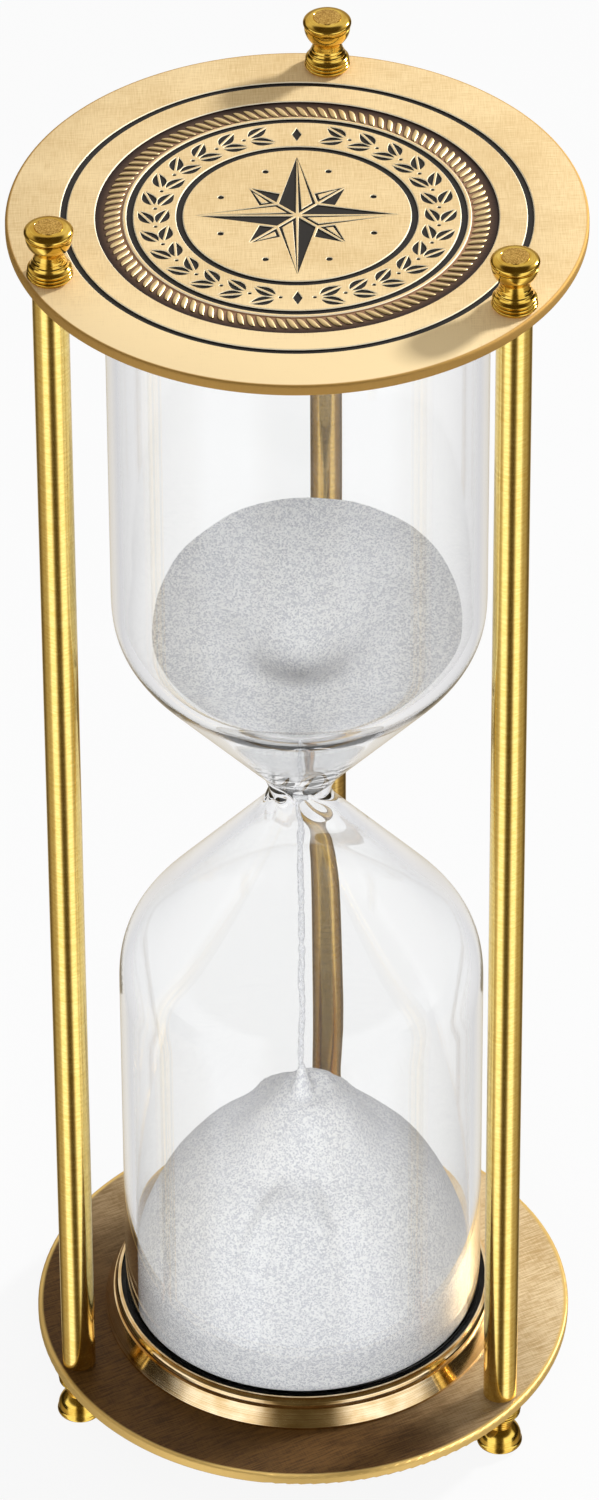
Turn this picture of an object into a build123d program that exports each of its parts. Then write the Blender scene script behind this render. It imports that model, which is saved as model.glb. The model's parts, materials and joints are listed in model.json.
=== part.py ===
"""Hourglass: a blown glass vessel held between two brass plates by three rods with screw-on knobs.

Millimetres, +Z up. The origin is on the axis, at the level of the feet's resting faces.
"""

import math
import os

from build123d import *

os.makedirs("parts", exist_ok=True)

# Brass frame
FRAME_HEIGHT = 300.0
PLATE_RADIUS = 60.0
PLATE_THICKNESS = 2.5
PLATE_EDGE_ROUND = 0.6
ROD_RADIUS = 3.75
ROD_PLACE = 0.66  # share of the way from the collar's outside to the plate's edge
ROD_END_CHAMFER = 0.4
ROD_ANGLES = {"back": 90.0, "left": 210.0, "right": 330.0}

# Engraving on the top plate: grooves that hold black filling, and the recess of the rope border
GROOVE_DEPTH = 0.4
OUTER_RING_INSET = 12.0
OUTER_RING_WIDTH = 1.1
ROPE_RECESS_INSET = 18.4
ROPE_RECESS_WIDTH = 5.8
MIDDLE_RING_INSET = 25.6
MIDDLE_RING_WIDTH = 1.2
INNER_RING_INSET = 35.8
INNER_RING_WIDTH = 1.2

# Turned knob, used as a finial above each rod and upside down as a foot below it
KNOB_HEIGHT = 12.5
KNOB_BASE_RADIUS = 4.2
KNOB_BASE_RELIEF = 0.5
KNOB_BEAD_RADIUS = 4.5
KNOB_BEAD_HEIGHT = 0.8
KNOB_BEAD_BULGE = 0.35
KNOB_BEAD_COUNT = 3
KNOB_BEAD_STEP_IN = 0.1
KNOB_NECK_RADIUS = 3.0
KNOB_NECK_HEIGHT = 6.3
KNOB_SKIRT_HOLLOW = 0.3
KNOB_BOWL_RADIUS = 4.35
KNOB_BOWL_HEIGHT = 8.7
KNOB_BOWL_BULGE = 0.45
KNOB_BOWL_LEDGE = 0.2
KNOB_RIM_RADIUS = 5.1
KNOB_RIM_HEIGHT = 11.0
KNOB_RIM_HOLLOW = 0.15
KNOB_RIM_BAND = 0.4
KNOB_CROWN_RADIUS = 4.2
KNOB_CROWN_ROUND = 0.25
KNOB_DISH_RADIUS = 3.4
KNOB_DISH_DEPTH = 0.3

# Threaded studs, drawn at the thread's outside diameter
STUD_RADIUS = 2.0
STUD_IN_ROD = 7.0
STUD_IN_KNOB = 4.5
STUD_END_CHAMFER = 0.3
TAPPED_HOLE_RUNOUT = 1.0
THREAD_CLEARANCE = 0.05
PLATE_HOLE_CLEARANCE = 0.2

# Glass vessel
GLASS_RADIUS = 40.0
GLASS_WALL = 2.6
GLASS_END_WALL = 3.0
GLASS_END_ROUND = 4.0
GLASS_INNER_END_ROUND = 2.0
GLASS_NECK_RADIUS = 7.0
GLASS_NECK_ROUND = 9.0
GLASS_CONE_ANGLE = 39.0
GLASS_SHOULDER_ROUND = 20.0
GLASS_BORE_RADIUS = 1.5
GLASS_BORE_ROUND = 12.0
GLASS_INNER_CONE_ANGLE = 42.0
GLASS_INNER_SHOULDER_ROUND = 16.0

# Seats of the glass in the plates
CUSHION_THICKNESS = 1.5
CUSHION_CLEARANCE = 0.4
GASKET_THICKNESS = 1.1
GASKET_HEIGHT = 4.0
GASKET_CLEARANCE = 0.05
COLLAR_HEIGHT = 6.8
COLLAR_FLANGE_WIDTH = 3.6
COLLAR_FLANGE_HEIGHT = 0.6
COLLAR_CONE_TOP_WIDTH = 1.7
COLLAR_CONE_TOP_HEIGHT = 4.4
COLLAR_LEDGE = 0.3
COLLAR_SHOULDER_HEIGHT = 6.3
COLLAR_SHOULDER_WIDTH = 0.7
COLLAR_SHOULDER_BULGE = 0.25
COLLAR_LIP_WIDTH = 0.4

# Sand
SAND_GAP = 0.15
SAND_RIM_ABOVE_SHOULDER = 1.4
FUNNEL_DEPTH = 19.0
FUNNEL_BULGE = 1.6
CRATER_RADIUS = 3.5
CRATER_DEPTH = 2.2
SAND_SLOPE = 17.7  # fall of the surface from the side where the sand lies highest
SAND_HIGH_SIDE = 82.0
SAND_SINK = 12.2  # of the sloping surface at the axis, below its highest point on the wall
STREAM_RADIUS = 0.8
HEAP_WALL_HEIGHT = 18.0
HEAP_RISE = 40.0
HEAP_BULGE = 2.2
HEAP_TIP_RADIUS = 4.5
HEAP_TIP_HEIGHT = 6.0
HEAP_TIP_HOLLOW = 0.8

# Levels along the axis
bottom_plate_under = KNOB_HEIGHT
bottom_plate_top = bottom_plate_under + PLATE_THICKNESS
top_plate_top = bottom_plate_under + FRAME_HEIGHT
top_plate_under = top_plate_top - PLATE_THICKNESS
middle_z = (bottom_plate_top + top_plate_under) / 2
rod_length = top_plate_under - bottom_plate_top
glass_half = rod_length / 2 - CUSHION_THICKNESS
cavity_half = glass_half - GLASS_END_WALL

# Radii that fit round one another, from the glass outwards
cavity_radius = GLASS_RADIUS - GLASS_WALL
collar_bore = GLASS_RADIUS + GASKET_THICKNESS
collar_radius = collar_bore + COLLAR_FLANGE_WIDTH
rod_circle_radius = collar_radius + ROD_PLACE * (PLATE_RADIUS - collar_radius)
stud_length = STUD_IN_ROD + PLATE_THICKNESS + STUD_IN_KNOB
tapped_hole_radius = STUD_RADIUS + THREAD_CLEARANCE

# Engraved rings, measured in from the plate's edge
outer_ring_radius = PLATE_RADIUS - OUTER_RING_INSET
rope_recess_radius = PLATE_RADIUS - ROPE_RECESS_INSET
middle_ring_radius = PLATE_RADIUS - MIDDLE_RING_INSET
inner_ring_radius = PLATE_RADIUS - INNER_RING_INSET


def section_through(seat):
    """Plane through a seat's axis: local x runs out from the axis and local y along it."""
    return Plane(origin=seat.origin, x_dir=seat.x_dir, z_dir=-seat.y_dir)


def bulb_points(neck_radius, neck_round, cone_angle, shoulder_round, body_radius):
    """Ends of the cone between a bulb's neck arc and its shoulder arc, and the top of the shoulder."""
    angle = math.radians(cone_angle)
    cone_start = Vector(neck_radius + neck_round * (1 - math.cos(angle)), neck_round * math.sin(angle))
    cone_end_radius = body_radius - shoulder_round * (1 - math.cos(angle))
    cone_end_height = cone_start.Y + (cone_end_radius - cone_start.X) / math.tan(angle)
    cone_end = Vector(cone_end_radius, cone_end_height)
    shoulder_top = Vector(body_radius, cone_end_height + shoulder_round * math.sin(angle))
    return cone_start, cone_end, shoulder_top


middle_section = section_through(Plane((0, 0, middle_z)))
bottom_seat = Plane((0, 0, bottom_plate_top))
top_seat = Plane((0, 0, top_plate_under), x_dir=(1, 0, 0), z_dir=(0, 0, -1))
glass_seats = {"bottom": bottom_seat, "top": top_seat}

# Plates
with BuildPart() as bottom_plate:
    with BuildSketch(Plane.XY.offset(bottom_plate_under)):
        Circle(PLATE_RADIUS)
        with PolarLocations(rod_circle_radius, len(ROD_ANGLES), start_angle=ROD_ANGLES["back"]):
            Circle(STUD_RADIUS + PLATE_HOLE_CLEARANCE, mode=Mode.SUBTRACT)
    extrude(amount=PLATE_THICKNESS)
    fillet(bottom_plate.edges().filter_by(GeomType.CIRCLE).group_by(SortBy.RADIUS)[-1], PLATE_EDGE_ROUND)
bottom_plate.part.label = "bottom_plate"
export_step(bottom_plate.part, "parts/bottom_plate.step")

with BuildPart() as top_plate:
    with BuildSketch(Plane.XY.offset(top_plate_under)):
        Circle(PLATE_RADIUS)
        with PolarLocations(rod_circle_radius, len(ROD_ANGLES), start_angle=ROD_ANGLES["back"]):
            Circle(STUD_RADIUS + PLATE_HOLE_CLEARANCE, mode=Mode.SUBTRACT)
    extrude(amount=PLATE_THICKNESS)
    fillet(top_plate.edges().filter_by(GeomType.CIRCLE).group_by(SortBy.RADIUS)[-1], PLATE_EDGE_ROUND)
    with BuildSketch(Plane.XY.offset(top_plate_top)):
        Circle(outer_ring_radius + OUTER_RING_WIDTH / 2)
        Circle(outer_ring_radius - OUTER_RING_WIDTH / 2, mode=Mode.SUBTRACT)
        Circle(rope_recess_radius)
        Circle(rope_recess_radius - ROPE_RECESS_WIDTH, mode=Mode.SUBTRACT)
        Circle(middle_ring_radius + MIDDLE_RING_WIDTH / 2)
        Circle(middle_ring_radius - MIDDLE_RING_WIDTH / 2, mode=Mode.SUBTRACT)
        Circle(inner_ring_radius + INNER_RING_WIDTH / 2)
        Circle(inner_ring_radius - INNER_RING_WIDTH / 2, mode=Mode.SUBTRACT)
    extrude(amount=-GROOVE_DEPTH, mode=Mode.SUBTRACT)
top_plate.part.label = "top_plate"
export_step(top_plate.part, "parts/top_plate.step")

# Rods with a tapped hole in each end
for side, angle in ROD_ANGLES.items():
    spot = Vector(rod_circle_radius, 0).rotate(Axis.Z, angle)
    with BuildPart() as rod:
        with BuildSketch(Plane((spot.X, spot.Y, bottom_plate_top))):
            Circle(ROD_RADIUS)
        extrude(amount=rod_length)
        chamfer(rod.edges().filter_by(GeomType.CIRCLE), ROD_END_CHAMFER)
        lower_end = Plane((spot.X, spot.Y, bottom_plate_top))
        upper_end = Plane((spot.X, spot.Y, top_plate_under), z_dir=(0, 0, -1))
        with BuildSketch(lower_end, upper_end):
            Circle(tapped_hole_radius)
        extrude(amount=STUD_IN_ROD + TAPPED_HOLE_RUNOUT, mode=Mode.SUBTRACT)
    rod.part.label = f"rod_{side}"
    export_step(rod.part, f"parts/rod_{side}.step")

# Turned knobs and their studs: finials face up from the top plate, feet face down from the bottom one
for knob_name, stud_name, plate_face, direction in (
    ("finial", "top_stud", top_plate_top, 1),
    ("foot", "bottom_stud", bottom_plate_under, -1),
):
    for side, angle in ROD_ANGLES.items():
        spot = Vector(rod_circle_radius, 0).rotate(Axis.Z, angle)
        seat = Plane((spot.X, spot.Y, plate_face), x_dir=(1, 0, 0), z_dir=(0, 0, direction))
        knob_axis = Axis(seat.origin, seat.z_dir)
        bead_top = KNOB_BASE_RELIEF + KNOB_BEAD_COUNT * KNOB_BEAD_HEIGHT
        skirt_radius = KNOB_BEAD_RADIUS - KNOB_BEAD_COUNT * KNOB_BEAD_STEP_IN

        with BuildPart() as knob:
            with BuildSketch(section_through(seat)):
                with BuildLine():
                    Polyline((0, 0), (KNOB_BASE_RADIUS, 0), (KNOB_BASE_RADIUS, KNOB_BASE_RELIEF))
                    Line((KNOB_BASE_RADIUS, KNOB_BASE_RELIEF), (KNOB_BEAD_RADIUS, KNOB_BASE_RELIEF))
                    for bead in range(KNOB_BEAD_COUNT):
                        low = KNOB_BASE_RELIEF + bead * KNOB_BEAD_HEIGHT
                        radius = KNOB_BEAD_RADIUS - bead * KNOB_BEAD_STEP_IN
                        bead_end = (radius - KNOB_BEAD_STEP_IN, low + KNOB_BEAD_HEIGHT)
                        SagittaArc((radius, low), bead_end, -KNOB_BEAD_BULGE)
                    neck = (KNOB_NECK_RADIUS, KNOB_NECK_HEIGHT)
                    bowl = (KNOB_BOWL_RADIUS, KNOB_BOWL_HEIGHT)
                    SagittaArc((skirt_radius, bead_top), neck, KNOB_SKIRT_HOLLOW)
                    SagittaArc(neck, bowl, -KNOB_BOWL_BULGE)
                    ledge = (KNOB_BOWL_RADIUS - KNOB_BOWL_LEDGE, KNOB_BOWL_HEIGHT + KNOB_BOWL_LEDGE)
                    Line(bowl, ledge)
                    SagittaArc(ledge, (KNOB_RIM_RADIUS, KNOB_RIM_HEIGHT), KNOB_RIM_HOLLOW)
                    band_top = (KNOB_RIM_RADIUS, KNOB_RIM_HEIGHT + KNOB_RIM_BAND)
                    Line((KNOB_RIM_RADIUS, KNOB_RIM_HEIGHT), band_top)
                    SagittaArc(band_top, (KNOB_CROWN_RADIUS, KNOB_HEIGHT), -KNOB_CROWN_ROUND)
                    Polyline(
                        (KNOB_CROWN_RADIUS, KNOB_HEIGHT),
                        (KNOB_DISH_RADIUS, KNOB_HEIGHT),
                        (KNOB_DISH_RADIUS - KNOB_DISH_DEPTH, KNOB_HEIGHT - KNOB_DISH_DEPTH),
                        (0, KNOB_HEIGHT - KNOB_DISH_DEPTH),
                        (0, 0),
                    )
                make_face()
            revolve(axis=knob_axis)
            with BuildSketch(seat):
                Circle(tapped_hole_radius)
            extrude(amount=STUD_IN_KNOB + TAPPED_HOLE_RUNOUT, mode=Mode.SUBTRACT)
        knob.part.label = f"{knob_name}_{side}"
        export_step(knob.part, f"parts/{knob_name}_{side}.step")

        with BuildPart() as stud:
            with BuildSketch(seat.offset(-STUD_IN_ROD - PLATE_THICKNESS)):
                Circle(STUD_RADIUS)
            extrude(amount=stud_length)
            chamfer(stud.edges().filter_by(GeomType.CIRCLE), STUD_END_CHAMFER)
        stud.part.label = f"{stud_name}_{side}"
        export_step(stud.part, f"parts/{stud_name}_{side}.step")

# Glass vessel: both bulbs and the waist in one piece, sealed at both ends
cone_start, cone_end, shoulder_top = bulb_points(
    GLASS_NECK_RADIUS, GLASS_NECK_ROUND, GLASS_CONE_ANGLE, GLASS_SHOULDER_ROUND, GLASS_RADIUS
)
bore_cone_start, bore_cone_end, bore_shoulder_top = bulb_points(
    GLASS_BORE_RADIUS, GLASS_BORE_ROUND, GLASS_INNER_CONE_ANGLE, GLASS_INNER_SHOULDER_ROUND, cavity_radius
)

with BuildPart() as glass_vessel:
    with BuildSketch(middle_section):
        with BuildLine():
            TangentArc((GLASS_NECK_RADIUS, 0), cone_start, tangent=(0, 1))
            Line(cone_start, cone_end)
            TangentArc(cone_end, shoulder_top, tangent=cone_end - cone_start)
            Line(shoulder_top, (GLASS_RADIUS, glass_half - GLASS_END_ROUND))
            TangentArc(
                (GLASS_RADIUS, glass_half - GLASS_END_ROUND),
                (GLASS_RADIUS - GLASS_END_ROUND, glass_half),
                tangent=(0, 1),
            )
            Line((GLASS_RADIUS - GLASS_END_ROUND, glass_half), (0, glass_half))
            mirror(about=Plane.XZ)
            Line((0, glass_half), (0, -glass_half))
        make_face()
        with BuildLine():
            TangentArc((GLASS_BORE_RADIUS, 0), bore_cone_start, tangent=(0, 1))
            Line(bore_cone_start, bore_cone_end)
            TangentArc(bore_cone_end, bore_shoulder_top, tangent=bore_cone_end - bore_cone_start)
            Line(bore_shoulder_top, (cavity_radius, cavity_half - GLASS_INNER_END_ROUND))
            TangentArc(
                (cavity_radius, cavity_half - GLASS_INNER_END_ROUND),
                (cavity_radius - GLASS_INNER_END_ROUND, cavity_half),
                tangent=(0, 1),
            )
            Line((cavity_radius - GLASS_INNER_END_ROUND, cavity_half), (0, cavity_half))
            mirror(about=Plane.XZ)
            Line((0, cavity_half), (0, -cavity_half))
        make_face(mode=Mode.SUBTRACT)
    revolve(axis=Axis.Z)
glass_vessel.part.label = "glass_vessel"
export_step(glass_vessel.part, "parts/glass_vessel.step")

# Seats at both ends of the glass: cushion disc, gasket ring and turned collar
for end, seat in glass_seats.items():
    seat_axis = Axis(seat.origin, seat.z_dir)

    with BuildPart() as cushion:
        with BuildSketch(seat):
            Circle(collar_bore - CUSHION_CLEARANCE)
        extrude(amount=CUSHION_THICKNESS)
    cushion.part.label = f"{end}_cushion"
    export_step(cushion.part, f"parts/{end}_cushion.step")

    with BuildPart() as gasket:
        with BuildSketch(seat.offset(CUSHION_THICKNESS)):
            Circle(collar_bore - GASKET_CLEARANCE)
            Circle(GLASS_RADIUS + GASKET_CLEARANCE, mode=Mode.SUBTRACT)
        extrude(amount=GASKET_HEIGHT)
    gasket.part.label = f"{end}_gasket"
    export_step(gasket.part, f"parts/{end}_gasket.step")

    with BuildPart() as collar:
        with BuildSketch(section_through(seat)):
            with BuildLine():
                flange_top = (collar_radius, COLLAR_FLANGE_HEIGHT)
                cone_top = (collar_bore + COLLAR_CONE_TOP_WIDTH, COLLAR_CONE_TOP_HEIGHT)
                ledge = (collar_bore + COLLAR_CONE_TOP_WIDTH - COLLAR_LEDGE, COLLAR_CONE_TOP_HEIGHT)
                shoulder = (collar_bore + COLLAR_SHOULDER_WIDTH, COLLAR_SHOULDER_HEIGHT)
                lip = (collar_bore + COLLAR_LIP_WIDTH, COLLAR_SHOULDER_HEIGHT)
                Polyline((collar_bore, 0), (collar_radius, 0), flange_top, cone_top, ledge)
                SagittaArc(ledge, shoulder, -COLLAR_SHOULDER_BULGE)
                Polyline(
                    shoulder,
                    lip,
                    (collar_bore + COLLAR_LIP_WIDTH, COLLAR_HEIGHT),
                    (collar_bore, COLLAR_HEIGHT),
                    (collar_bore, 0),
                )
            make_face()
        revolve(axis=seat_axis)
    collar.part.label = f"{end}_collar"
    export_step(collar.part, f"parts/{end}_collar.step")

# Sand left in the upper bulb: its surface slopes, with the funnel that runs into the bore
sand_cone_start, sand_cone_end, sand_shoulder_top = bulb_points(
    GLASS_BORE_RADIUS - SAND_GAP,
    GLASS_BORE_ROUND + SAND_GAP,
    GLASS_INNER_CONE_ANGLE,
    GLASS_INNER_SHOULDER_ROUND - SAND_GAP,
    cavity_radius - SAND_GAP,
)
sand_radius = cavity_radius - SAND_GAP
sand_rim = Vector(sand_radius, sand_shoulder_top.Y + SAND_RIM_ABOVE_SHOULDER)
crater_edge = Vector(CRATER_RADIUS, sand_rim.Y - FUNNEL_DEPTH)
sand_lean = Vector(-math.sin(math.radians(SAND_SLOPE)), 0, math.cos(math.radians(SAND_SLOPE)))
sand_level = middle_z + sand_rim.Y - SAND_SINK
sand_surface = Plane((0, 0, sand_level), z_dir=sand_lean.rotate(Axis.Z, SAND_HIGH_SIDE))

with BuildPart() as sand_upper:
    with BuildSketch(middle_section):
        with BuildLine():
            Line((0, 0), (GLASS_BORE_RADIUS - SAND_GAP, 0))
            TangentArc((GLASS_BORE_RADIUS - SAND_GAP, 0), sand_cone_start, tangent=(0, 1))
            Line(sand_cone_start, sand_cone_end)
            TangentArc(sand_cone_end, sand_shoulder_top, tangent=sand_cone_end - sand_cone_start)
            Line(sand_shoulder_top, sand_rim)
            SagittaArc(sand_rim, crater_edge, -FUNNEL_BULGE)
            Polyline(crater_edge, (0, crater_edge.Y - CRATER_DEPTH), (0, 0))
        make_face()
    revolve(axis=Axis.Z)
    split(bisect_by=sand_surface, keep=Keep.BOTTOM)
sand_upper.part.label = "sand_upper"
export_step(sand_upper.part, "parts/sand_upper.step")

# Heap in the lower bulb, drawn up to a tip where the stream lands
heap_floor = -cavity_half + SAND_GAP
heap_corner = GLASS_INNER_END_ROUND - SAND_GAP
heap_wall_top = Vector(sand_radius, heap_floor + HEAP_WALL_HEIGHT)
heap_peak = heap_wall_top.Y + HEAP_RISE + HEAP_TIP_HEIGHT
heap_tip_foot = Vector(HEAP_TIP_RADIUS, heap_wall_top.Y + HEAP_RISE)

with BuildPart() as sand_lower:
    with BuildSketch(middle_section):
        with BuildLine():
            Line((0, heap_floor), (sand_radius - heap_corner, heap_floor))
            TangentArc(
                (sand_radius - heap_corner, heap_floor),
                (sand_radius, heap_floor + heap_corner),
                tangent=(1, 0),
            )
            Line((sand_radius, heap_floor + heap_corner), heap_wall_top)
            SagittaArc(heap_wall_top, heap_tip_foot, -HEAP_BULGE)
            SagittaArc(heap_tip_foot, (STREAM_RADIUS, heap_peak), HEAP_TIP_HOLLOW)
            Polyline((STREAM_RADIUS, heap_peak), (0, heap_peak), (0, heap_floor))
        make_face()
    revolve(axis=Axis.Z)
sand_lower.part.label = "sand_lower"
export_step(sand_lower.part, "parts/sand_lower.step")

# Stream between the bore and the tip of the heap
with BuildPart() as sand_stream:
    with BuildSketch(Plane.XY.offset(middle_z + heap_peak)):
        Circle(STREAM_RADIUS)
    extrude(amount=-heap_peak)
sand_stream.part.label = "sand_stream"
export_step(sand_stream.part, "parts/sand_stream.step")
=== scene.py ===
"""Dresses the hourglass: brushed and turned brass, an engraved top plate, clear glass, loose white sand."""

import json
import math

import bmesh
import bpy
from mathutils import Matrix, Vector, noise

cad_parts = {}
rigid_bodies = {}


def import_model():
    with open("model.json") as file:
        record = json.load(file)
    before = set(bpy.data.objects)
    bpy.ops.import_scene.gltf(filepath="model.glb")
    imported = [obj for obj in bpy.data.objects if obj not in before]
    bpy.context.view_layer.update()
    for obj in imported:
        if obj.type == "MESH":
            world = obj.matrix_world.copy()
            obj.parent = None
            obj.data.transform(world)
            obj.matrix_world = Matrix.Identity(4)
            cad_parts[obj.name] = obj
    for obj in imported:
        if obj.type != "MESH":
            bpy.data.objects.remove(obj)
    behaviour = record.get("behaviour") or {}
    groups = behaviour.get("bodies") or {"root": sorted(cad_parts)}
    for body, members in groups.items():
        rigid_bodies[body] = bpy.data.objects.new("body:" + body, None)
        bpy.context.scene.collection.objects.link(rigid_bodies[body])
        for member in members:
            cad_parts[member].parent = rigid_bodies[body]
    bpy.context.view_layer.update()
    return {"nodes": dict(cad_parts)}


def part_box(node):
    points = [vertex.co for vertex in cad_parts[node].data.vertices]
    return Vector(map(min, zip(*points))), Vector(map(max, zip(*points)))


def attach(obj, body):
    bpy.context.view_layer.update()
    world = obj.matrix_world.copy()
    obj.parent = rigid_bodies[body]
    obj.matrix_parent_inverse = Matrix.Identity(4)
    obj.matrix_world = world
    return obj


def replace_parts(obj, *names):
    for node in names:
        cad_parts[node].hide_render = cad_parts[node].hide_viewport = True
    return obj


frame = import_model()
nodes = frame["nodes"]
SIDES = ("back", "left", "right")

# Levels and radii, in millimetres, as in the solids
MM = 0.001
BOTTOM_PLATE_UNDER = 12.5
TOP_PLATE_UNDER = 310.0
TOP_FACE = 312.5
MIDDLE = 162.5
KNOB_HEIGHT = 12.5
BORE_RADIUS = 2.05
BORE_DEPTH = 5.5

# Engraved rings of the top plate
PLATE_RADIUS = 60.0
OUTER_RING = (48.0, 1.45)
MIDDLE_RING = (34.4, 1.5)
INNER_RING = (24.2, 1.5)
ROPE_RECESS_OUTSIDE = 41.6
ROPE_RECESS_INSIDE = 35.8
GROOVE_DEPTH = 0.4
ROPE_RADIUS = 38.05
PLATE_HOLE = 2.2

# Glass
GLASS_RADIUS = 40.0
GLASS_WALL = 2.6
GLASS_HALF = 146.0
CAVITY_HALF = 143.0
CAVITY_RADIUS = GLASS_RADIUS - GLASS_WALL
GLASS_END_ROUND = 4.0
CAVITY_END_ROUND = 2.0
FLARE_START = 2.0
FLARE_FULL = 14.0
FLARE_END = 40.0
OUTER_BULB = {
    "neck": 7.0,
    "neck_round": 9.0,
    "cone": 39.0,
    "shoulder_round": 20.0,
    "body": GLASS_RADIUS,
    "flare": 0.0,
}
INNER_BULB = {
    "neck": 1.5,
    "neck_round": 5.2,
    "cone": 40.0,
    "shoulder_round": 17.4,
    "body": CAVITY_RADIUS,
    "flare": 0.55,
}

# Sand
SAND_GAP = 0.15
SAND_RADIUS = CAVITY_RADIUS - SAND_GAP
SAND_BULB = {
    "neck": 1.35,
    "neck_round": 5.35,
    "cone": 40.0,
    "shoulder_round": 17.25,
    "body": SAND_RADIUS,
    "flare": 0.55,
}
FUNNEL_EDGE = (37.25, 52.02)
CRATER_EDGE = (3.5, 33.02)
CRATER_DEPTH = 2.2
FUNNEL_BULGE = 1.8
SAND_LEVEL = 39.82
SAND_SLOPE = math.radians(17.7)
SAND_HIGH_SIDE = math.radians(82.0)
HEAP_FLOOR = 19.65
HEAP_CORNER = 1.85
HEAP_EDGE = 37.4
HEAP_DOME = 27.3
HEAP_CAP = 11.6
HEAP_PEAK = 83.65
HEAP_SHIFT = 2.2
CAP_FLAT = 4.0
CAP_SLOPE = 15.0
FRONT_DROP = 8
SLIP_START = 14
SLIP_LENGTH = 23
SLIP_HEIGHT = 2.6
STREAM_RADIUS = 0.8
GRAIN = 0.32

# Studs
STUD_RADIUS = 2.0
STUD_LENGTH = 14.0
THREAD_PITCH = 0.7
THREAD_DEPTH = 0.38
STUD_CHAMFER = 0.3

# Where the camera stands and where the lamps point
CAMERA_TURN = math.radians(6.8)
CAMERA_RISE = math.radians(38.327)
CAMERA_ROLL = math.radians(-0.316)
CAMERA_DISTANCE = 1.8688
CAMERA_AIM = Vector((-0.000132 * math.cos(CAMERA_TURN), -0.000132 * math.sin(CAMERA_TURN), 0.1725))
PHOTO_FOCAL = 8683.5
PHOTO_LONG_SIDE = 1500
SENSOR = 36.0
LAMP_AIM = Vector((0, 0, 0.16))


class Shade:
    """One output of a shader node. Sums on it add Math nodes to the same tree."""

    def __init__(self, work, socket):
        self.work = work
        self.socket = socket

    def math(self, operation, *values):
        return self.work.node("ShaderNodeMath", {"operation": operation}, dict(enumerate(values)))

    def __add__(self, other):
        return self.math("ADD", self, other)

    def __sub__(self, other):
        return self.math("SUBTRACT", self, other)

    def __rsub__(self, other):
        return self.math("SUBTRACT", other, self)

    def __mul__(self, other):
        return self.math("MULTIPLY", self, other)

    def __truediv__(self, other):
        return self.math("DIVIDE", self, other)

    def __pow__(self, other):
        return self.math("POWER", self, other)

    def __abs__(self):
        return self.math("ABSOLUTE", self)

    __radd__ = __add__
    __rmul__ = __mul__


class Finish:
    """The node tree of a material or of the world, while it is being made."""

    def __init__(self, owner):
        owner.use_nodes = True
        self.owner = owner
        self.tree = owner.node_tree
        self.tree.nodes.clear()

    def node(self, kind, settings=(), sockets=(), output=0):
        made = self.tree.nodes.new(kind)
        settings = dict(settings)
        stops = settings.pop("stops", ())
        for key, value in settings.items():
            setattr(made, key, value)
        if stops:
            elements = made.color_ramp.elements
            while len(elements) < len(stops):
                elements.new(1.0)
            for element, (position, colour) in zip(elements, stops):
                element.position = position
                element.color = colour
        for key, value in dict(sockets).items():
            if isinstance(value, Shade):
                self.tree.links.new(value.socket, made.inputs[key])
            else:
                made.inputs[key].default_value = value
        return Shade(self, made.outputs[output])

    def place(self):
        return self.node("ShaderNodeTexCoord", output="Object")

    def axes(self, vector):
        first = self.node("ShaderNodeSeparateXYZ", sockets={0: vector})
        return [Shade(self, socket) for socket in first.socket.node.outputs]

    def noise(self, place, size, detail=2.0, turn=0.0):
        """Noise whose grains are size long, in millimetres, along the turned X, Y and Z."""
        grains = [length * MM for length in size]
        sockets = {"Vector": place, "Rotation": (0, 0, math.radians(turn)), "Scale": grains}
        fitted = self.node("ShaderNodeMapping", {"vector_type": "TEXTURE"}, sockets)
        return self.node("ShaderNodeTexNoise", sockets={"Vector": fitted, "Scale": 1.0, "Detail": detail})

    def step(self, value, low, high):
        """0 below low, 1 above high and smooth between them."""
        settings = {"interpolation_type": "SMOOTHSTEP"}
        return self.node("ShaderNodeMapRange", settings, {"Value": value, "From Min": low, "From Max": high})

    def mix(self, share, first, second):
        return self.node("ShaderNodeMix", {"data_type": "RGBA"}, {0: share, 6: first, 7: second}, output=2)

    def bump(self, height, depth):
        """Normal of a surface whose height, from 0 to 1, is depth millimetres deep."""
        sockets = {"Strength": 1.0, "Distance": depth * MM, "Height": height}
        return self.node("ShaderNodeBump", sockets=sockets)

    def ray(self, question):
        """What the renderer says about the ray that looks at this surface."""
        return self.node("ShaderNodeLightPath", output=question)

    def principled(self, sockets):
        return self.node("ShaderNodeBsdfPrincipled", sockets=sockets)

    def done(self, shader):
        world = isinstance(self.owner, bpy.types.World)
        end = self.tree.nodes.new("ShaderNodeOutputWorld" if world else "ShaderNodeOutputMaterial")
        self.tree.links.new(shader.socket, end.inputs["Surface"])
        return self.owner


def material(name):
    return Finish(bpy.data.materials.new(name))


def tone(red, green, blue):
    """A colour as it looks on a screen, from 0 to 255, turned to the renderer's linear numbers."""
    linear = [(c / 255 / 12.92) if c < 11 else ((c / 255 + 0.055) / 1.055) ** 2.4 for c in (red, green, blue)]
    return (*linear, 1.0)


# Finishes


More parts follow.
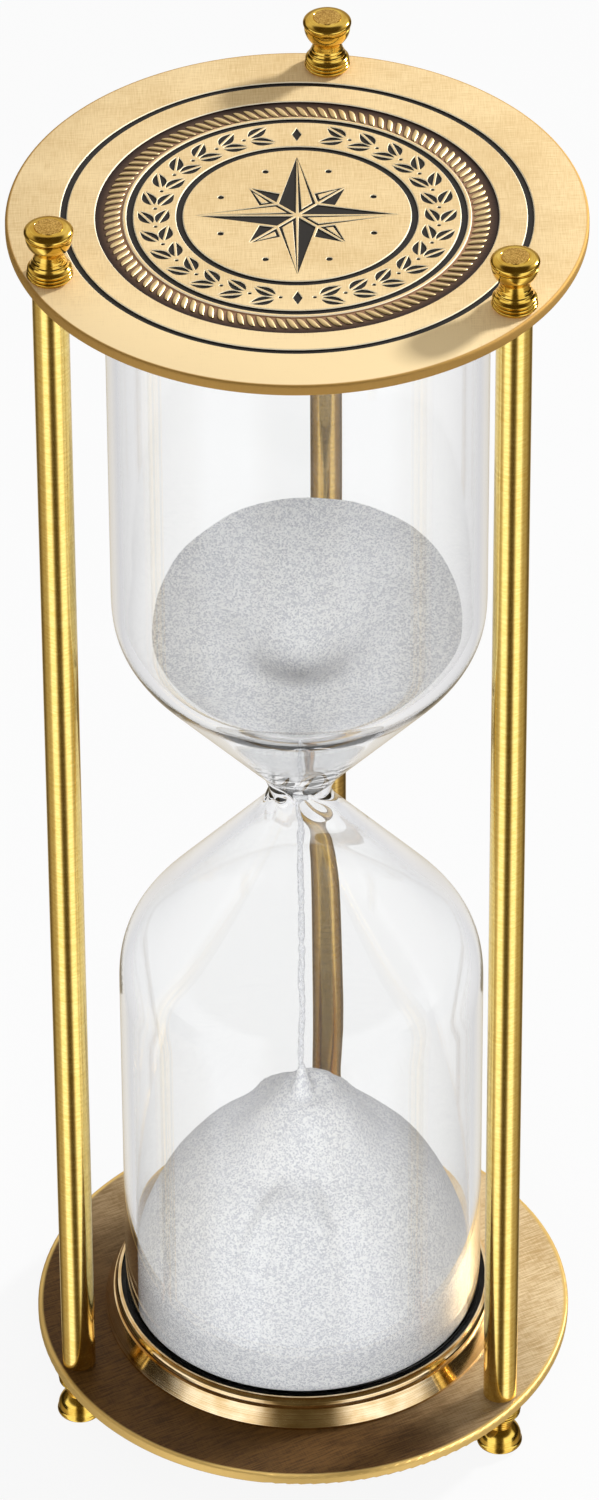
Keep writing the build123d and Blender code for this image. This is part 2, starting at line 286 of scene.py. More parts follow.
def engraved_brass():
    work = material("engraved_brass")
    place = work.place()
    x, y, z = work.axes(place)
    radius = (x * x + y * y) ** 0.5
    along = work.noise(place, (4.0, 0.16, 4.0), turn=10)
    across = work.noise(place, (4.0, 0.18, 4.0), turn=97)
    clouds = work.noise(place, (16.0, 12.0, 16.0))
    strokes = along * 0.4 + across * 0.35 + clouds * 0.25
    # Painted light: the face is made paler towards the front edge, as if more light falls there
    painted_front_light = 1 - work.step(y, -58 * MM, -15 * MM)
    shine = work.step(strokes + painted_front_light * 0.25, 0.3, 0.7)
    face = work.mix(shine, tone(228, 198, 142), tone(255, 233, 186))
    rim = work.step(radius, 59.2 * MM, 59.6 * MM)
    brass = work.mix(rim, face, tone(206, 168, 98))
    inside = 1 - work.step(radius, 49.8 * MM, 50.0 * MM)
    # Painted highlight: the thin band just under the face, the chamfered walls of the cuts, takes a pale tone
    below = 1 - work.step(z, (TOP_FACE - 0.03) * MM, (TOP_FACE - 0.01) * MM)
    filled = inside * (1 - work.step(z, (TOP_FACE - 0.2) * MM, (TOP_FACE - 0.17) * MM))
    in_recess = work.step(radius, 35.75 * MM, 35.85 * MM) * (1 - work.step(radius, 41.55 * MM, 41.65 * MM))
    soot = work.mix(clouds, tone(8, 6, 6), tone(22, 16, 16))
    # Brown recess floor with painted shade: it darkens to near black under the recess's outer wall
    painted_wall_shade = work.step(radius + along * 0.002, 36.5 * MM, 42.5 * MM)
    umber_and_wall_shade = work.mix(painted_wall_shade, tone(176, 136, 104), tone(44, 24, 18))
    # Puts the painted highlight tone on the chamfered edges of the engraving
    bright = work.mix(inside * below, brass, tone(255, 246, 220))
    colour = work.mix(filled, bright, work.mix(in_recess, soot, umber_and_wall_shade))
    roughness = 0.64 + strokes * 0.2 - filled * 0.2
    metal = 0.5 + rim * 0.4 - filled * (0.5 - in_recess * 0.4)
    normal = work.bump(strokes * (1 - rim), 0.006)
    shader = {"Base Color": colour, "Roughness": roughness, "Metallic": metal, "Normal": normal}
    return work.done(work.principled(shader))


def rope_brass():
    work = material("rope_brass")
    place = work.place()
    z = work.axes(place)[2]
    grain = work.noise(place, (0.5, 0.5, 0.5), detail=4.0)
    height = work.step(z + grain * 0.00006, (TOP_FACE - 0.36) * MM, (TOP_FACE - 0.12) * MM)
    colour = work.mix(height, tone(22, 12, 8), tone(250, 226, 176))
    shader = {"Base Color": colour, "Roughness": 0.38 + grain * 0.2, "Metallic": 1.0}
    return work.done(work.principled(shader))


def plate_brass():
    """Brushed brass with painted shade towards the front and left and painted light at the back and on the
    right, the side the key lamp comes from.
    """
    work = material("plate_brass")
    place = work.place()
    x, y, z = work.axes(place)
    along = work.noise(place, (4.0, 0.35, 4.0), turn=35, detail=3.0)
    across = work.noise(place, (3.0, 0.3, 3.0), turn=118)
    clouds = work.noise(place, (18.0, 14.0, 18.0))
    strokes = along * 0.55 + across * 0.2 + clouds * 0.25
    # Painted shade and painted light: a dark copy and a lit copy of the same brushed brass
    dark = work.mix(work.step(strokes, 0.34, 0.66), tone(70, 46, 18), tone(116, 82, 40))
    painted_lit_tone = work.mix(work.step(strokes, 0.34, 0.66), tone(206, 172, 118), tone(250, 228, 186))
    # Mask of the painted light: 0 at the front-left, 1 at the back-right
    painted_light_side = work.step(x * 0.55 + y * 0.83 + (clouds - 0.5) * 0.02, -30 * MM, 42 * MM)
    radius = (x * x + y * y) ** 0.5
    rim = work.step(radius, 58.6 * MM, 59.3 * MM)
    colour = work.mix(rim, work.mix(painted_light_side, dark, painted_lit_tone), tone(232, 196, 118))
    normal = work.bump(strokes * (1 - rim), 0.015)
    shader = {"Base Color": colour, "Roughness": 0.4 + strokes * 0.2, "Metallic": 0.6, "Normal": normal}
    return work.done(work.principled(shader))


def rod_brass(name, dull, bright):
    work = material(name)
    place = work.place()
    rings = work.noise(place, (12.0, 12.0, 0.25), detail=2.0)
    specks = work.noise(place, (0.9, 0.9, 0.5), detail=3.0)
    shine = rings * 0.5 + specks * 0.5
    colour = work.mix(work.step(shine, 0.3, 0.7), dull, bright)
    normal = work.bump(shine, 0.004)
    shader = {"Base Color": colour, "Roughness": 0.11 + shine * 0.1, "Metallic": 1.0, "Normal": normal}
    return work.done(work.principled(shader))


def turned_brass(name, seat, way):
    """Polished brass of a knob, with a fine cast grain on the flat of its crown."""
    work = material(name)
    place = work.place()
    z = work.axes(place)[2]
    height = (z - seat * MM) * way
    lathe_marks = work.noise(place, (30.0, 30.0, 0.1), detail=3.0)
    cast = work.noise(place, (0.3, 0.3, 0.3), detail=4.0)
    crown = work.step(height, (KNOB_HEIGHT - 0.14) * MM, (KNOB_HEIGHT - 0.06) * MM)
    tarnish = work.noise(place, (3.0, 3.0, 2.0), detail=3.0)
    shine = lathe_marks * 0.5 + tarnish * 0.5
    polished = work.mix(work.step(shine, 0.35, 0.65), tone(206, 164, 64), tone(246, 211, 104))
    grainy = work.mix(work.step(cast, 0.36, 0.64), tone(178, 134, 60), tone(234, 194, 108))
    colour = work.mix(crown, polished, grainy)
    roughness = 0.09 + shine * 0.08 + crown * 0.2
    normal = work.bump(cast * crown, 0.02)
    shader = {"Base Color": colour, "Roughness": roughness, "Metallic": 1.0, "Normal": normal}
    return work.done(work.principled(shader))


def collar_brass():
    work = material("collar_brass")
    place = work.place()
    marks = work.noise(place, (60.0, 60.0, 0.12), detail=3.0)
    tarnish = work.noise(place, (5.0, 5.0, 3.0), detail=3.0)
    shine = marks * 0.5 + tarnish * 0.5
    colour = work.mix(work.step(shine, 0.35, 0.65), tone(210, 178, 126), tone(248, 226, 188))
    normal = work.bump(marks, 0.004)
    shader = {"Base Color": colour, "Roughness": 0.08 + shine * 0.08, "Metallic": 1.0, "Normal": normal}
    return work.done(work.principled(shader))


def thread_steel():
    work = material("thread_steel")
    grain = work.noise(work.place(), (1.5, 1.5, 0.3), detail=3.0)
    colour = work.mix(grain, tone(120, 118, 114), tone(196, 194, 190))
    shader = {"Base Color": colour, "Roughness": 0.25 + grain * 0.2, "Metallic": 1.0}
    return work.done(work.principled(shader))


def black_rubber():
    work = material("black_rubber")
    grain = work.noise(work.place(), (0.6, 0.6, 0.6), detail=3.0)
    colour = work.mix(grain, tone(10, 10, 10), tone(34, 32, 30))
    shader = {"Base Color": colour, "Roughness": 0.45 + grain * 0.2, "Normal": work.bump(grain, 0.03)}
    return work.done(work.principled(shader))


def black_felt():
    work = material("black_felt")
    fibres = work.noise(work.place(), (0.4, 0.4, 0.4), detail=5.0)
    colour = work.mix(fibres, tone(12, 12, 13), tone(46, 44, 44))
    shader = {"Base Color": colour, "Roughness": 0.9, "Sheen Weight": 0.3, "Normal": work.bump(fibres, 0.1)}
    return work.done(work.principled(shader))


def clear_glass():
    work = material("clear_glass")
    smears = work.noise(work.place(), (30.0, 30.0, 50.0), detail=3.0)
    tint = work.mix(smears, (0.985, 0.992, 0.992, 1.0), (1.0, 1.0, 1.0, 1.0))
    glass = work.principled({"Base Color": tint, "Roughness": 0.0, "IOR": 1.47, "Transmission Weight": 1.0})
    open_way = work.node("ShaderNodeBsdfTransparent", sockets={"Color": (0.96, 0.97, 0.97, 1.0)})
    to_lamp = work.ray("Is Shadow Ray")
    return work.done(work.node("ShaderNodeMixShader", sockets={0: to_lamp, 1: glass, 2: open_way}))


def white_sand():
    work = material("white_sand")
    place = work.place()
    sockets = {"Vector": place, "Scale": 1 / (GRAIN * MM)}
    cells = work.node("ShaderNodeTexVoronoi", sockets=sockets, output="Color")
    grains = work.axes(cells)[0]
    fine = work.noise(place, (0.22, 0.22, 0.22), detail=3.0)
    drift = work.noise(place, (6.0, 6.0, 6.0), detail=2.0)
    shade = grains * 0.5 + fine * 0.35 + drift * 0.15
    colour = work.mix(work.step(shade, 0.28, 0.66), tone(212, 213, 219), tone(255, 255, 255))
    shader = {"Base Color": colour, "Roughness": 0.45 + grains * 0.35, "Normal": work.bump(shade, 0.05)}
    return work.done(work.principled(shader))


def falling_sand():
    """Grains that fall apart from each other, so that the background shows between them."""
    work = material("falling_sand")
    place = work.place()
    grains = work.noise(place, (0.5, 0.5, 1.6), detail=3.0)
    colour = work.mix(grains, tone(232, 233, 238), tone(252, 252, 254))
    thin = work.step(grains, 0.3, 0.62) * 0.6 + 0.2
    return work.done(work.principled({"Base Color": colour, "Roughness": 0.6 + grains * 0.2, "Alpha": thin}))


def floor_paint():
    """Pale floor, white to the camera; through glass it is a white strip with greyer floor beside it.

    Light that is scattered by the object finds an even grey floor, without the key lamp's pool of light.
    """
    work = material("floor_paint")
    place = work.place()
    x, y, z = work.axes(place)
    mottle = work.noise(place, (40.0, 40.0, 40.0))
    colour = work.mix(mottle, (0.62, 0.62, 0.62, 1.0), (0.66, 0.66, 0.66, 1.0))
    paint = work.principled({"Base Color": colour, "Roughness": 0.9})
    from_camera = work.ray("Is Camera Ray")
    straight_on = 1 - work.step(work.ray("Diffuse Depth"), 0.0, 1.0)
    through = work.ray("Is Transmission Ray") * straight_on
    across = x * math.cos(CAMERA_TURN) + y * math.sin(CAMERA_TURN)
    beside = work.step(abs(across), 0.03, 0.15) * through
    seen = work.mix(beside, (1.0, 1.0, 1.0, 1.0), (0.88, 0.88, 0.9, 1.0))
    glow = work.mix(straight_on, (0.36, 0.36, 0.37, 1.0), seen)
    white = work.principled({
        "Base Color": (0.0, 0.0, 0.0, 1.0),
        "Specular IOR Level": 0.0,
        "Emission Color": glow,
        "Emission Strength": 1.0,
    })
    share = work.step(from_camera + through, 0.0, 1.0) * 0.9 + 1 - straight_on
    return work.done(work.node("ShaderNodeMixShader", sockets={0: share, 1: paint, 2: white}))


# Shapes


def ring_mesh(name, rings, crease=40.0):
    """A mesh through rings of points in millimetres; a ring of one point closes an end."""
    points = [Vector(p) * MM for ring in rings for p in ring]
    starts = [sum(len(ring) for ring in rings[:k]) for k in range(len(rings))]
    faces = []
    for k in range(len(rings) - 1):
        low, high = len(rings[k]), len(rings[k + 1])
        count = max(low, high)
        for j in range(count):
            a = starts[k] + j % low
            b = starts[k] + (j + 1) % low
            c = starts[k + 1] + (j + 1) % high
            d = starts[k + 1] + j % high
            faces.append([a, b, c] if high == 1 else [a, c, d] if low == 1 else [a, b, c, d])
    mesh = bpy.data.meshes.new(name)
    mesh.from_pydata(points, [], faces)
    return smooth(mesh, crease)


def smooth(mesh, crease):
    mesh.polygons.foreach_set("use_smooth", [True] * len(mesh.polygons))
    mesh.set_sharp_from_angle(angle=math.radians(crease))
    mesh.update()
    return mesh


def circle(radius, height, count, spot=(0.0, 0.0)):
    if radius < 1e-6:
        return [(spot[0], spot[1], height)]
    turns = [2 * math.pi * j / count for j in range(count)]
    return [(spot[0] + radius * math.cos(t), spot[1] + radius * math.sin(t), height) for t in turns]


def piece(name, mesh, finish, body="frame"):
    """Links a mesh as a piece of the object that rides on a body."""
    thing = bpy.data.objects.new(name, mesh)
    thing.data.materials.clear()
    thing.data.materials.append(finish)
    bpy.context.scene.collection.objects.link(thing)
    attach(thing, body)
    return thing


def dress(node, finish):
    """Gives a solid of the CAD another material."""
    nodes[node].data.materials.clear()
    nodes[node].data.materials.append(finish)


def axis_spot(low, high):
    """Where the upright axis of a box stands, in millimetres."""
    return (low[0] + high[0]) / 2 / MM, (low[1] + high[1]) / 2 / MM


def arc(middle, radius, start, end, count):
    turns = [math.radians(start + (end - start) * k / count) for k in range(count + 1)]
    return [(middle[0] + radius * math.cos(t), middle[1] + radius * math.sin(t)) for t in turns]


def straight(start, end, count):
    """Points of a straight run, crowded at its ends so that its shading stays flat."""
    shares = [0.01] + [k / count for k in range(1, count)] + [0.99]
    return [(start[0] + (end[0] - start[0]) * s, start[1] + (end[1] - start[1]) * s) for s in shares]


def wall_radius(bulb, height):
    """Radius of a bulb's wall at a height above the waist."""
    turn = math.radians(bulb["cone"])
    neck_end = bulb["neck_round"] * math.sin(turn)
    neck_end_radius = bulb["neck"] + bulb["neck_round"] * (1 - math.cos(turn))
    cone_end_radius = bulb["body"] - bulb["shoulder_round"] * (1 - math.cos(turn))
    cone_end = neck_end + (cone_end_radius - neck_end_radius) / math.tan(turn)
    top = cone_end + bulb["shoulder_round"] * math.sin(turn)
    if height >= top:
        return bulb["body"]
    if height >= cone_end:
        level = math.sqrt(bulb["shoulder_round"] ** 2 - (top - height) ** 2)
        return bulb["body"] - bulb["shoulder_round"] + level
    if height >= neck_end:
        return neck_end_radius + (height - neck_end) * math.tan(turn)
    return bulb["neck"] + bulb["neck_round"] - math.sqrt(bulb["neck_round"] ** 2 - height ** 2)


def soft_radius(bulb, height):
    """Radius of a bulb's wall with its bends eased, more so away from the waist, and with its flare."""
    reach = max(0.5, min(6.0, 0.15 * height))
    total = 0.0
    for k in range(-4, 5):
        weight = 0.1 * (1 + math.cos(math.pi * k / 5))
        total += weight * wall_radius(bulb, abs(height + reach * k / 5))
    rise = max(0.0, min(1.0, (height - FLARE_START) / (FLARE_FULL - FLARE_START)))
    fall = max(0.0, min(1.0, (height - FLARE_FULL) / (FLARE_END - FLARE_FULL)))
    share = math.sin(math.pi * rise / 2) ** 1.3 * (0.5 + 0.5 * math.cos(math.pi * fall))
    return total + bulb["flare"] * share


def half_bulb(bulb, half, end_round):
    """Outline from the waist out and along to the axis at a bulb's end: radius and height above the waist."""
    heights = [0.25 * k for k in range(64)] + [16.0 + k for k in range(47)]
    side = [(soft_radius(bulb, height), height) for height in heights]
    end = arc((bulb["body"] - end_round, half - end_round), end_round, 0, 90, 10)
    flat = straight(end[-1], (0, half), 6) + [(0, half)]
    return side + straight(side[-1], end[0], 10) + end + flat


def both_bulbs(outline):
    """The outline of both bulbs, from the lower end on the axis to the upper one."""
    upper = [(r, MIDDLE + h) for r, h in outline]
    lower = [(r, MIDDLE - h) for r, h in outline[1:]]
    return lower[::-1] + upper


def glass_ring(radius, height, depth, widen, count=160):
    """A ring of the glass: near the waist it has twisted ripples, as drawn glass does."""
    if radius < 1e-6:
        return [(0, 0, height)]
    above = height - MIDDLE
    near = depth * math.exp(-((above / 4.6) ** 2))
    ring = []
    for j in range(count):
        turn = 2 * math.pi * j / count
        drawn = turn + 0.12 * above
        spot = Vector((1.5 * math.cos(drawn), 1.5 * math.sin(drawn), above / 9 + 3 * depth))
        reach = radius + near * (noise.noise(spot) + widen)
        ring.append((reach * math.cos(turn), reach * math.sin(turn), height))
    return ring


def glass_mesh():
    outside = both_bulbs(half_bulb(OUTER_BULB, GLASS_HALF, GLASS_END_ROUND))
    inside = both_bulbs(half_bulb(INNER_BULB, CAVITY_HALF, CAVITY_END_ROUND))
    shape = bmesh.new()
    for outline, depth, widen in ((outside, 1.1, 0.0), (inside[::-1], 0.5, 0.5)):
        wall = ring_mesh("wall", [glass_ring(r, h, depth, widen) for r, h in outline])
        shape.from_mesh(wall)
        bpy.data.meshes.remove(wall)
    mesh = bpy.data.meshes.new("glass")
    shape.to_mesh(mesh)
    shape.free()
    return mesh


def lower_of(first, second, blend):
    """The lower of two heights, rounded where they cross."""
    share = max(0.0, min(1.0, 0.5 + 0.5 * (second - first) / blend))
    return second + (first - second) * share - blend * share * (1 - share)


def drifts(x, y, size, seed):
    return noise.noise(Vector((x / size, y / size, seed)))


def upper_surface(x, y):
    """Height above the waist of the sand left in the upper bulb."""
    radius = math.hypot(x, y)
    share = (radius - CRATER_EDGE[0]) / (FUNNEL_EDGE[0] - CRATER_EDGE[0])
    if share > 0:
        rise = FUNNEL_EDGE[1] - CRATER_EDGE[1]
        funnel = CRATER_EDGE[1] + rise * share + 4 * FUNNEL_BULGE * share * (1 - share)
    else:
        funnel = CRATER_EDGE[1] - CRATER_DEPTH * (1 - radius / CRATER_EDGE[0])
    along = x * math.cos(SAND_HIGH_SIDE) + y * math.sin(SAND_HIGH_SIDE)
    slope = SAND_LEVEL + along * math.tan(SAND_SLOPE)
    calm = min(1.0, radius / 8)
    return lower_of(funnel, slope, 3.0) + calm * (0.35 * drifts(x, y, 9, 0.3) + 0.1 * drifts(x, y, 2.5, 7.7))


def upper_sand_mesh(count=120, rings=56, wall_rings=80):
    turns = [2 * math.pi * j / count for j in range(count)]
    rim = []
    for turn in turns:
        radius = SAND_RADIUS
        for _ in range(40):
            height = upper_surface(radius * math.cos(turn), radius * math.sin(turn))
            radius = 0.5 * (radius + soft_radius(SAND_BULB, height))
        rim.append((radius, height))
    layers = [[(0, 0, MIDDLE)]]
    for k in range(wall_rings):
        layer = []
        for turn, (_, top) in zip(turns, rim):
            height = top * k / wall_rings
            radius = soft_radius(SAND_BULB, height)
            layer.append((radius * math.cos(turn), radius * math.sin(turn), MIDDLE + height))
        layers.append(layer)
    for k in range(rings, 0, -1):
        layer = []
        for turn, (edge, _) in zip(turns, rim):
            x = edge * k / rings * math.cos(turn)
            y = edge * k / rings * math.sin(turn)
            layer.append((x, y, MIDDLE + upper_surface(x, y)))
        layers.append(layer)
    layers.append([(0, 0, MIDDLE + upper_surface(0, 0))])
    return ring_mesh("upper_sand", layers, crease=70)


def heap_surface(x, y):
    """Height of the heap in the lower bulb: a broad dome, a cap under the stream and a slip on the front."""
    across = x * math.cos(CAMERA_TURN) + y * math.sin(CAMERA_TURN)
    front = x * math.sin(CAMERA_TURN) - y * math.cos(CAMERA_TURN)
    from_axis = math.hypot(x, y)
    inward = 1 - min(1.0, from_axis / SAND_RADIUS)
    radius = math.hypot(across - HEAP_SHIFT * inward, front)
    height = HEAP_EDGE + HEAP_DOME * (1 - min(1.0, radius / SAND_RADIUS) ** 3.5)
    slope = max(0.0, min(1.0, (radius - CAP_FLAT) / CAP_SLOPE))
    height += HEAP_CAP * (0.5 + 0.5 * math.cos(math.pi * slope))
    height -= FRONT_DROP * max(0.0, front / 37) * max(0.0, (from_axis - 24) / 13.25) ** 2
    run = (front - SLIP_START) / SLIP_LENGTH
    if run > 0:
        width = 4 + 13 * run
        side = abs(across + 1.0 + 5 * run) / width
        if side < 1:
            swell = math.sin(math.pi * min(1.0, run * 1.8) / 2)
            height += SLIP_HEIGHT * swell * (1 - side ** 5) * (1.05 - 0.6 * run)
    height += (HEAP_PEAK - height) * math.exp(-from_axis ** 2 / 2.2)
    calm = min(1.0, max(0.0, (radius - 1.0) / 6))
    return height + calm * (0.4 * drifts(x, y, 8, 3.3) + 0.12 * drifts(x, y, 2.2, 5.1))


def heap_mesh(count=144, rings=64, wall_rings=10):
    turns = [2 * math.pi * j / count for j in range(count)]
    foot = SAND_RADIUS - HEAP_CORNER
    outline = [(0, HEAP_FLOOR)] + arc((foot, HEAP_FLOOR + HEAP_CORNER), HEAP_CORNER, -90, 0, 6)
    layers = [circle(r, h, count) for r, h in outline]
    base = outline[-1][1]
    for k in range(1, wall_rings):
        layer = []
        for turn in turns:
            x = SAND_RADIUS * math.cos(turn)
            y = SAND_RADIUS * math.sin(turn)
            layer.append((x, y, base + (heap_surface(x, y) - base) * k / wall_rings))
        layers.append(layer)
    for k in range(rings, 0, -1):
        radius = SAND_RADIUS * (k / rings) ** 1.3
        layer = []
        for turn in turns:
            x = radius * math.cos(turn)
            y = radius * math.sin(turn)
            layer.append((x, y, heap_surface(x, y)))
        layers.append(layer)
    layers.append([(0, 0, HEAP_PEAK)])
    return ring_mesh("heap", layers, crease=75)


def stream_mesh(count=14, rings=150):
    layers = []
    for k in range(rings + 1):
        height = HEAP_PEAK - 0.8 + (MIDDLE - HEAP_PEAK + 0.8) * k / rings
        fall = 1 - k / rings
        sway = 0.5 * fall
        x = sway * noise.noise(Vector((height / 9, 0.5, 0.0)))
        y = sway * noise.noise(Vector((height / 9, 4.5, 0.0)))
        radius = 0.85 * STREAM_RADIUS * (1 + 0.35 * noise.noise(Vector((height / 2.2, 9.5, 0.0))))
        layers.append(circle(radius, height, count, (x, y)))
    layers.insert(0, [(0, 0, layers[0][0][2])])
    layers.append([(0, 0, layers[-1][0][2])])
    return ring_mesh("stream", layers, crease=80)


def knob_mesh(spot, seat, way):
    """A turned knob from its seat: beads, a ridged skirt, a bowl with a grooved rim and a flat dome."""
    outline = [(0, BORE_DEPTH), (BORE_RADIUS, BORE_DEPTH), (BORE_RADIUS, 0), (4.2, 0), (4.2, 0.5)]
    for bead in range(3):
        for k in range(9):
            share = k / 8
            level = bead + share
            outline.append((4.5 - 0.1 * level + 1.4 * share * (1 - share), 0.5 + 0.8 * level))
    for k in range(1, 40):
        share = k / 40
        ridge = 0.12 * (1 - share) * max(0.0, math.cos(2 * math.pi * 3.5 * share))
        outline.append((4.2 - 1.2 * share - 0.9 * share * (1 - share) + ridge, 2.9 + 3.4 * share))
    for k in range(17):
        share = k / 16
        outline.append((3.0 + 1.85 * share + 1.9 * share * (1 - share), 6.3 + 3.8 * share))
    outline += [(4.68, 10.2), (4.72, 10.4), (4.98, 10.7), (5.08, 10.95), (5.1, 11.2)]
    for k in range(1, 17):
        lean = math.pi / 2 * k / 16
        outline.append((5.1 - 2.1 * (1 - math.cos(lean)), 11.2 + 1.16 * math.sin(lean)))
    outline += [(2.92, 12.3), (2.84, 12.46), (2.6, KNOB_HEIGHT), (0, KNOB_HEIGHT)]
    layers = [circle(r, seat + way * h, 56, spot) for r, h in outline]
    return ring_mesh("knob", layers if way > 0 else layers[::-1], crease=32)


def stud_mesh(spot, low, count=28, steps=8):
    """A threaded stud, from its lower end."""
    layers = []
    rows = round(STUD_LENGTH / THREAD_PITCH * steps)
    for k in range(rows + 1):
        height = STUD_LENGTH * k / rows
        end = min(height, STUD_LENGTH - height)
        limit = STUD_RADIUS - max(0.0, STUD_CHAMFER - end)
        layer = []
        for j in range(count):
            phase = (height / THREAD_PITCH - j / count) % 1.0
            cut = THREAD_DEPTH * (1 - abs(2 * phase - 1))
            radius = min(limit, STUD_RADIUS - cut)
            turn = 2 * math.pi * j / count
            layer.append((spot[0] + radius * math.cos(turn), spot[1] + radius * math.sin(turn), low + height))
        layers.append(layer)
    layers.insert(0, [(spot[0], spot[1], low)])
    layers.append([(spot[0], spot[1], low + STUD_LENGTH)])
    return ring_mesh("stud", layers, crease=35)


# Engraving of the top plate, drawn flat in millimetres with y away from the camera


def grown(outline, amount):
    """A closed outline, anticlockwise, with its sides moved out."""
    moved = []
    for k, here in enumerate(outline):
        before = (Vector(here) - Vector(outline[k - 1])).normalized()
        after = (Vector(outline[(k + 1) % len(outline)]) - Vector(here)).normalized()
        away = Vector((before.y + after.y, -before.x - after.x))
        reach = 2 / max(away.length_squared, 0.35)
        moved.append((here[0] + away.x * amount * reach, here[1] + away.y * amount * reach))
    return moved


def turned_flat(outline, turn):
    cos, sin = math.cos(turn), math.sin(turn)
    return [(x * cos - y * sin, x * sin + y * cos) for x, y in outline]


def spun(outline, turn, out=0.0, lean=0.0):
    """An outline leant about its own origin, moved out along x and turned about the plate's axis."""
    leant = [(x + out, y) for x, y in turned_flat(outline, math.radians(lean))]
    return turned_flat(leant, math.radians(turn))


def mirrored(outline):
    return [(x, -y) for x, y in reversed(outline)]


def half_leaf(length, width, rib):
    """One half of a leaf that lies along +x, beside its midrib."""
    shares = [k / 12 for k in range(11, 0, -1)]
    edge = [(length * share, rib + width * math.sin(math.pi * share ** 0.85)) for share in shares]
    return [(0, rib), (length, rib)] + edge


def dot(radius, spot):
    return [(spot[0] + x, spot[1] + y) for x, y, _ in circle(radius, 0, 20)]


def wreath():
    """Two laurel branches that meet at the top, with berries between the leaves."""
    leaf = half_leaf(5.5, 1.42, 0.16)
    shapes = []
    for hand in (1, -1):
        for k in range(13):
            turn = -90 + hand * (9 + 12.6 * k)
            for out, lean in ((29.85, 90 - 27), (28.75, 90 + 27)):
                for half in (leaf, mirrored(leaf)):
                    placed = half if hand > 0 else mirrored(half)
                    shapes.append(spun(placed, turn, out, hand * lean))
            shapes.append(spun(dot(0.5, (0, 0)), turn - hand * 2.2, 29.3))
    for turn in (-90, 90):
        shapes.append(spun([(-2.6, 0), (0, -1.1), (2.6, 0), (0, 1.1)], turn, 29.3))
    return shapes


def rose():
    """Eight-point compass rose: each point has a filled half and an outlined half."""
    filled, lined = [], []
    valley = 5.8
    for k in range(4):
        turn = 90 * k
        corner = (valley * math.cos(math.pi / 4), valley * math.sin(math.pi / 4))
        tip = (21.5, 0)
        filled.append(spun([(0, 0), tip, corner], turn))
        lined.append(spun(mirrored([(0, 0), tip, corner]), turn))
        share = 0.22
        beside = (corner[0] + (tip[0] - corner[0]) * share, corner[1] + (tip[1] - corner[1]) * share)
        beside = spun([beside], -45)[0]
        point = [(valley, 0), (14.5, 0), (beside[0], -beside[1])]
        filled.append(spun(mirrored(point), turn + 45))
        lined.append(spun([point[0], point[2], point[1]], turn + 45))
    dots = [spun(dot(0.75, (0, 0)), 22.5 + 45 * k, 17.0) for k in range(8)]
    return filled, lined, dots


def anticlockwise(outline):
    area = sum(a[0] * b[1] - b[0] * a[1] for a, b in zip(outline, outline[1:] + outline[:1]))
    return outline if area > 0 else outline[::-1]


CUT_LEVELS = ((0.1, 0.1), (-0.1, -0.1), (-0.3, -0.1))


def cut_walls(shape, outline, widen):
    """Walls of a cut that narrows as it goes down, as loops of points from the top."""
    loops = []
    for level, spread in CUT_LEVELS:
        flat = spun(grown(outline, widen * spread), math.degrees(CAMERA_TURN))
        loops.append([shape.verts.new((x * MM, y * MM, (TOP_FACE + level) * MM)) for x, y in flat])
    for upper, lower in zip(loops, loops[1:]):
        for k in range(len(upper)):
            corners = [upper[k - 1], lower[k - 1], lower[k], upper[k]]
            shape.faces.new(corners if widen > 0 else corners[::-1])
    return loops


def cut_filled(shape, outline):
    loops = cut_walls(shape, anticlockwise(outline), 1)
    shape.faces.new(loops[0])
    shape.faces.new(loops[-1][::-1])


def cut_line(shape, outline, width):
    """A line of the given width that runs round inside an outline."""
    outline = anticlockwise(outline)
    outside = cut_walls(shape, outline, 1)
    inside = cut_walls(shape, grown(outline, -width), -1)
    for loop, hole, way in ((outside[0], inside[0], 1), (outside[-1], inside[-1], -1)):
        for k in range(len(loop)):
            shape.faces.new([loop[k - 1], loop[k], hole[k], hole[k - 1]][::way])


def groove(middle, width):
    """Outline of a ring groove with chamfered edges, from its outside in."""
    out = middle + width / 2
    inner = middle - width / 2
    edge = 0.22
    floor = TOP_FACE - GROOVE_DEPTH
    return [
        (out + edge / 2, TOP_FACE),
        (out - edge / 2, TOP_FACE - edge),
        (out - edge / 2, floor),
        (inner + edge / 2, floor),
        (inner + edge / 2, TOP_FACE - edge),
        (inner - edge / 2, TOP_FACE),
    ]


